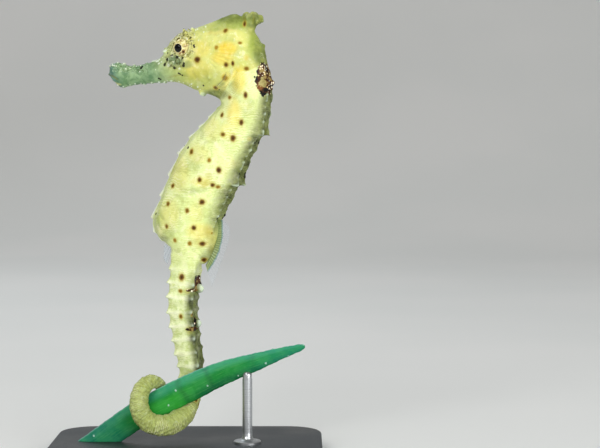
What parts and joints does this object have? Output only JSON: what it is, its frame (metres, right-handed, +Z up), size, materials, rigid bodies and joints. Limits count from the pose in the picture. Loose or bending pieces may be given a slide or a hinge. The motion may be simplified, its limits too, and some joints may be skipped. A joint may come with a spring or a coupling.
{
  "type": "seahorse display model",
  "caption": "Still life-size yellow seahorse with dark brown spots, its tail wound round a green sea grass blade, on a flat base with a short rod.",
  "frame": {"origin": "on the floor under the middle of the stand's base", "axes": "+Z up, the seahorse faces -X with its left side towards -Y"},
  "size_m": [0.06, 0.04, 0.0984],
  "materials": {
    "skin": "pale yellow-green skin with dark brown spots, satin and slightly wet, translucent at the ridges",
    "eye": "polished gold iris with dark rays and a black pupil",
    "fin": "thin translucent membrane over fine rays",
    "leaf": "satin fresh green with faint lengthwise veins and a pale rim",
    "stand_base": "fine matt graphite paint",
    "stand_rod": "fine brushed"
  },
  "bodies": {
    "root": {"snout": "skin", "head": "skin", "coronet": "skin", "neck": "skin", "trunk": "skin", "tail_1": "skin", "tail_2": "skin", "tail_3": "skin", "tail_4": "skin", "eye_left": "eye", "eye_right": "eye", "dorsal_fin": "fin", "anal_fin": "fin", "pectoral_fin_left": "fin", "pectoral_fin_right": "fin", "leaf": "leaf", "stand_base": "stand_base", "stand_rod": "stand_rod"}
  },
  "joints": []
}
